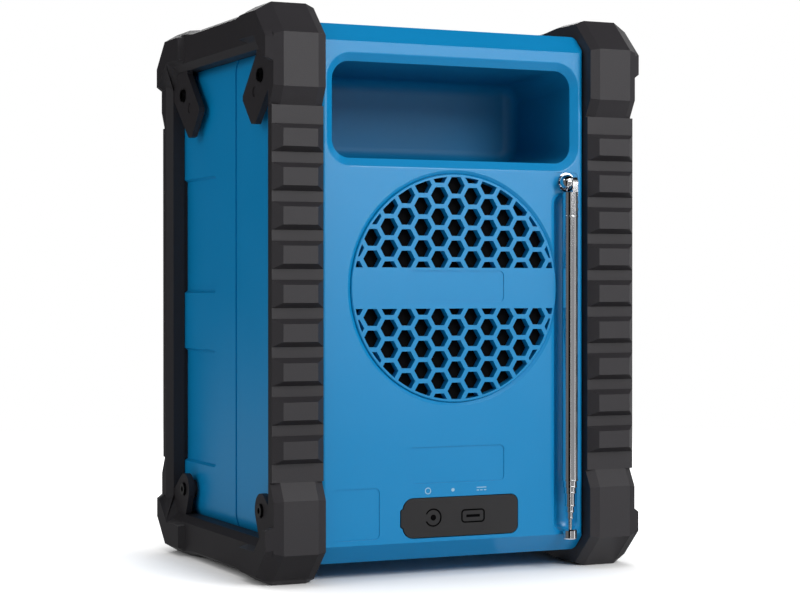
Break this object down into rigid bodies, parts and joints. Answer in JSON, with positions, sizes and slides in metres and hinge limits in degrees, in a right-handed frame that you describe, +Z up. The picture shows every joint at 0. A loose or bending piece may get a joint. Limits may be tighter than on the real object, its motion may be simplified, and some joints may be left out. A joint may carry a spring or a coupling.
{
  "type": "jobsite radio",
  "caption": "Rugged portable radio: blue shell with a rear grab recess and hexagonal grille, clasped by ribbed dark side guards, with a folding telescopic antenna.",
  "frame": {"origin": "on the ground, at the middle of the footprint", "axes": "+Z up, +Y to the rear (grab recess, round grille, antenna), +X to the right seen from the front"},
  "size_m": [0.1828, 0.1574, 0.25],
  "materials": {
    "blue_shell": "fine satin texture",
    "guard_dark": "soft overmoulded, lightly textured",
    "rubber_black": "matt",
    "steel_screw": "black oxide",
    "cloth_black": "open weave",
    "black_plastic": "fine texture",
    "cone_grey": "pressed paper look",
    "grille_metal": "powder coat",
    "ring_dark": "satin",
    "steel_frame": "plated",
    "lens_clear": "smoked and polished",
    "display_dark": "smooth",
    "board_green": "solder mask",
    "cell_wrap": "shrink film",
    "chrome": "polished plating",
    "button_grey": "matt"
  },
  "bodies": {
    "housing": {"front_shell": "blue_shell", "rear_shell": "blue_shell", "grab_pocket": "blue_shell", "port_tray": "black_plastic", "port_floor": "black_plastic", "shell_seal": "rubber_black", "guard_right": "guard_dark", "guard_left": "guard_dark", "guard_screws": "steel_screw", "shell_screws": "steel_screw", "rear_grille": "blue_shell", "grille_cloth": "cloth_black", "radiator_frame": "black_plastic", "radiator_surround": "rubber_black", "radiator_disc": "cone_grey", "fascia": "black_plastic", "front_grille": "grille_metal", "grille_ring": "ring_dark", "speaker_basket": "steel_frame", "speaker_surround": "rubber_black", "speaker_cone": "cone_grey", "speaker_dust_cap": "cone_grey", "speaker_magnet": "steel_frame", "speaker_screws": "steel_screw", "display_lens": "lens_clear", "display_module": "display_dark", "control_board": "board_green", "main_board": "board_green", "battery_cells": "cell_wrap", "battery_holder": "black_plastic", "port_board": "board_green", "aux_jack": "black_plastic", "usb_socket": "steel_frame", "volume_encoder": "black_plastic", "tuning_encoder": "black_plastic"},
    "port_cover": {"port_cover": "rubber_black"},
    "antenna_swivel": {"antenna_swivel": "chrome", "antenna_clip": "steel_screw", "antenna_pin": "chrome"},
    "antenna_mast": {"antenna_mast": "chrome"},
    "antenna_section_2": {"antenna_section_2": "chrome"},
    "antenna_section_3": {"antenna_section_3": "chrome"},
    "antenna_section_4": {"antenna_section_4": "chrome"},
    "antenna_section_5": {"antenna_section_5": "chrome"},
    "antenna_section_6": {"antenna_section_6": "chrome"},
    "antenna_section_7": {"antenna_section_7": "chrome", "antenna_tip": "chrome"},
    "volume_knob": {"volume_knob": "ring_dark", "volume_shaft": "steel_frame"},
    "tuning_knob": {"tuning_knob": "ring_dark", "tuning_shaft": "steel_frame"},
    "button_1": {"button_1": "button_grey"},
    "button_2": {"button_2": "button_grey"},
    "button_3": {"button_3": "button_grey"},
    "button_4": {"button_4": "button_grey"},
    "button_5": {"button_5": "button_grey"},
    "button_6": {"button_6": "button_grey"},
    "reset_button": {"reset_button": "black_plastic"}
  },
  "joints": [
    {"name": "antenna_turn", "type": "hinge", "parent": "housing", "child": "antenna_swivel", "pos_m": [-0.0553, 0.0712, 0.1753], "axis": [0, 1, 0], "range_deg": [-45, 2]},
    {"name": "antenna_raise", "type": "hinge", "parent": "antenna_swivel", "child": "antenna_mast", "pos_m": [-0.0553, 0.075, 0.1753], "axis": [1, 0, 0], "range_deg": [0, 180]},
    {"name": "antenna_section_2_slide", "type": "slide", "parent": "antenna_mast", "child": "antenna_section_2", "axis": [0, 0, -1], "range_m": [0, 0.1]},
    {"name": "antenna_section_3_slide", "type": "slide", "parent": "antenna_section_2", "child": "antenna_section_3", "axis": [0, 0, -1], "range_m": [0, 0.1]},
    {"name": "antenna_section_4_slide", "type": "slide", "parent": "antenna_section_3", "child": "antenna_section_4", "axis": [0, 0, -1], "range_m": [0, 0.1]},
    {"name": "antenna_section_5_slide", "type": "slide", "parent": "antenna_section_4", "child": "antenna_section_5", "axis": [0, 0, -1], "range_m": [0, 0.1]},
    {"name": "antenna_section_6_slide", "type": "slide", "parent": "antenna_section_5", "child": "antenna_section_6", "axis": [0, 0, -1], "range_m": [0, 0.1]},
    {"name": "antenna_section_7_slide", "type": "slide", "parent": "antenna_section_6", "child": "antenna_section_7", "axis": [0, 0, -1], "range_m": [0, 0.1]},
    {"name": "port_cover_hinge", "type": "hinge", "parent": "housing", "child": "port_cover", "pos_m": [-0.03055, 0.0714, 0.0265], "axis": [0, 0, 1], "range_deg": [0, 120]},
    {"name": "volume_turn", "type": "hinge", "parent": "housing", "child": "volume_knob", "pos_m": [-0.033, -0.0696, 0.1525], "axis": [0, -1, 0], "continuous": true},
    {"name": "tuning_turn", "type": "hinge", "parent": "housing", "child": "tuning_knob", "pos_m": [0.033, -0.0696, 0.1525], "axis": [0, -1, 0], "continuous": true},
    {"name": "button_1_press", "type": "slide", "parent": "housing", "child": "button_1", "axis": [0, 1, 0], "range_m": [0, 0.0012], "stiffness_N_per_m": 800, "springref_m": -0.0008},
    {"name": "button_2_press", "type": "slide", "parent": "housing", "child": "button_2", "axis": [0, 1, 0], "range_m": [0, 0.0012], "stiffness_N_per_m": 800, "springref_m": -0.0008},
    {"name": "button_3_press", "type": "slide", "parent": "housing", "child": "button_3", "axis": [0, 1, 0], "range_m": [0, 0.0012], "stiffness_N_per_m": 800, "springref_m": -0.0008},
    {"name": "button_4_press", "type": "slide", "parent": "housing", "child": "button_4", "axis": [0, 1, 0], "range_m": [0, 0.0012], "stiffness_N_per_m": 800, "springref_m": -0.0008},
    {"name": "button_5_press", "type": "slide", "parent": "housing", "child": "button_5", "axis": [0, 1, 0], "range_m": [0, 0.0012], "stiffness_N_per_m": 800, "springref_m": -0.0008},
    {"name": "button_6_press", "type": "slide", "parent": "housing", "child": "button_6", "axis": [0, 1, 0], "range_m": [0, 0.0012], "stiffness_N_per_m": 800, "springref_m": -0.0008},
    {"name": "reset_press", "type": "slide", "parent": "housing", "child": "reset_button", "axis": [0, -1, 0], "range_m": [0, 0.0008], "stiffness_N_per_m": 500, "springref_m": -0.0006}
  ]
}
